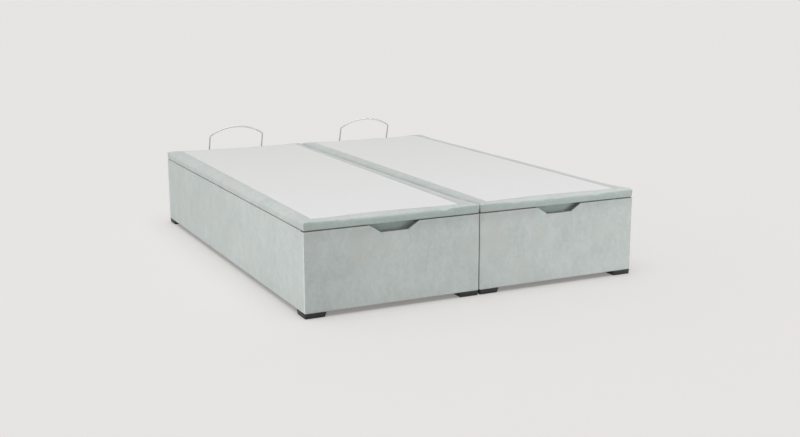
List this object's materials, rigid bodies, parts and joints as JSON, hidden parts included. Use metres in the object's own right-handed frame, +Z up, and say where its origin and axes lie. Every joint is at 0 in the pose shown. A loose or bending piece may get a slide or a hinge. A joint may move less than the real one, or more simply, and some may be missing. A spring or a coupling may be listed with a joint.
{
  "type": "storage bed",
  "caption": "Pair of linked upholstered storage bed bases whose padded lids lift on gas struts, with hand cut-outs at the foot end and wire mattress hoops at the head end.",
  "frame": {"origin": "on the floor, under the middle of the whole bed's box", "axes": "+X to the right seen from the foot end, +Y towards the head end, +Z up"},
  "size_m": [1.606, 2.1105, 0.528],
  "materials": {
    "velvet": "brushed velvet, pale duck-egg grey, mottled nap",
    "platform_cloth": "matt white non-slip platform cloth",
    "board": "raw particle board",
    "timber": "planed softwood",
    "floor_board": "plain plywood floor",
    "foam": "upholstery foam",
    "foot_plastic": "black moulded plastic, fine grain",
    "zinc_steel": "bright zinc plated steel",
    "hoop_steel": "satin steel wire",
    "black_tube": "black powder coated tube",
    "chrome_rod": "polished rod",
    "buffer_felt": "dark felt pad"
  },
  "bodies": {
    "base": {"left_foot_end_panel": "board", "right_foot_end_panel": "board", "left_head_end_panel": "board", "right_head_end_panel": "board", "left_outer_side_panel": "board", "right_outer_side_panel": "board", "left_inner_side_panel": "board", "right_inner_side_panel": "board", "left_floor_bearers": "timber", "right_floor_bearers": "timber", "left_floor_board": "floor_board", "right_floor_board": "floor_board", "left_base_cover": "velvet", "right_base_cover": "velvet", "feet": "foot_plastic", "corner_posts": "timber", "lid_buffers": "buffer_felt", "base_hinge_leaves": "zinc_steel", "base_strut_brackets": "zinc_steel", "link_plates": "zinc_steel"},
    "left_lid": {"left_lid_board": "board", "left_lid_foam": "foam", "left_lid_cover": "velvet", "left_lid_top_cloth": "platform_cloth", "left_lid_side_rails": "timber", "left_lid_end_rails": "timber", "left_lid_cross_rails": "timber", "left_grip_facing": "velvet", "left_lid_hinge_leaves": "zinc_steel", "left_lid_strut_brackets": "zinc_steel", "left_mattress_hoop": "hoop_steel", "left_hoop_saddles": "zinc_steel"},
    "left_outer_gas_cylinder": {"left_outer_gas_cylinder": "black_tube"},
    "left_outer_gas_rod": {"left_outer_gas_rod": "chrome_rod"},
    "left_inner_gas_cylinder": {"left_inner_gas_cylinder": "black_tube"},
    "left_inner_gas_rod": {"left_inner_gas_rod": "chrome_rod"},
    "right_lid": {"right_lid_board": "board", "right_lid_foam": "foam", "right_lid_cover": "velvet", "right_lid_top_cloth": "platform_cloth", "right_lid_side_rails": "timber", "right_lid_end_rails": "timber", "right_lid_cross_rails": "timber", "right_grip_facing": "velvet", "right_lid_hinge_leaves": "zinc_steel", "right_lid_strut_brackets": "zinc_steel", "right_mattress_hoop": "hoop_steel", "right_hoop_saddles": "zinc_steel"},
    "right_outer_gas_cylinder": {"right_outer_gas_cylinder": "black_tube"},
    "right_outer_gas_rod": {"right_outer_gas_rod": "chrome_rod"},
    "right_inner_gas_cylinder": {"right_inner_gas_cylinder": "black_tube"},
    "right_inner_gas_rod": {"right_inner_gas_rod": "chrome_rod"}
  },
  "joints": [
    {"name": "left_lid_hinge", "type": "hinge", "parent": "base", "child": "left_lid", "pos_m": [-0.403, 1.05075, 0.3596], "axis": [-1, 0, 0], "range_deg": [0, 42]},
    {"name": "left_outer_gas_rod_swing", "type": "hinge", "parent": "base", "child": "left_outer_gas_rod", "pos_m": [-0.741, 0.84507, 0.0765], "axis": [-1, 0, 0], "range_deg": [0, 21]},
    {"name": "left_outer_gas_cylinder_swing", "type": "hinge", "parent": "left_lid", "child": "left_outer_gas_cylinder", "pos_m": [-0.741, 0.70167, 0.33519], "axis": [-1, 0, 0], "range_deg": [-21, 0]},
    {"name": "left_inner_gas_rod_swing", "type": "hinge", "parent": "base", "child": "left_inner_gas_rod", "pos_m": [-0.065, 0.84507, 0.0765], "axis": [-1, 0, 0], "range_deg": [0, 21]},
    {"name": "left_inner_gas_cylinder_swing", "type": "hinge", "parent": "left_lid", "child": "left_inner_gas_cylinder", "pos_m": [-0.065, 0.70167, 0.33519], "axis": [-1, 0, 0], "range_deg": [-21, 0]},
    {"name": "right_lid_hinge", "type": "hinge", "parent": "base", "child": "right_lid", "pos_m": [0.403, 1.05075, 0.3596], "axis": [-1, 0, 0], "range_deg": [0, 42]},
    {"name": "right_outer_gas_rod_swing", "type": "hinge", "parent": "base", "child": "right_outer_gas_rod", "pos_m": [0.741, 0.84507, 0.0765], "axis": [-1, 0, 0], "range_deg": [0, 21]},
    {"name": "right_outer_gas_cylinder_swing", "type": "hinge", "parent": "right_lid", "child": "right_outer_gas_cylinder", "pos_m": [0.741, 0.70167, 0.33519], "axis": [-1, 0, 0], "range_deg": [-21, 0]},
    {"name": "right_inner_gas_rod_swing", "type": "hinge", "parent": "base", "child": "right_inner_gas_rod", "pos_m": [0.065, 0.84507, 0.0765], "axis": [-1, 0, 0], "range_deg": [0, 21]},
    {"name": "right_inner_gas_cylinder_swing", "type": "hinge", "parent": "right_lid", "child": "right_inner_gas_cylinder", "pos_m": [0.065, 0.70167, 0.33519], "axis": [-1, 0, 0], "range_deg": [-21, 0]}
  ],
  "couplings": [
    {"joint": "left_outer_gas_rod_swing", "follows": "left_lid_hinge", "ratio": 0.5},
    {"joint": "left_outer_gas_cylinder_swing", "follows": "left_lid_hinge", "ratio": -0.5},
    {"joint": "left_inner_gas_rod_swing", "follows": "left_lid_hinge", "ratio": 0.5},
    {"joint": "left_inner_gas_cylinder_swing", "follows": "left_lid_hinge", "ratio": -0.5},
    {"joint": "right_outer_gas_rod_swing", "follows": "right_lid_hinge", "ratio": 0.5},
    {"joint": "right_outer_gas_cylinder_swing", "follows": "right_lid_hinge", "ratio": -0.5},
    {"joint": "right_inner_gas_rod_swing", "follows": "right_lid_hinge", "ratio": 0.5},
    {"joint": "right_inner_gas_cylinder_swing", "follows": "right_lid_hinge", "ratio": -0.5}
  ]
}
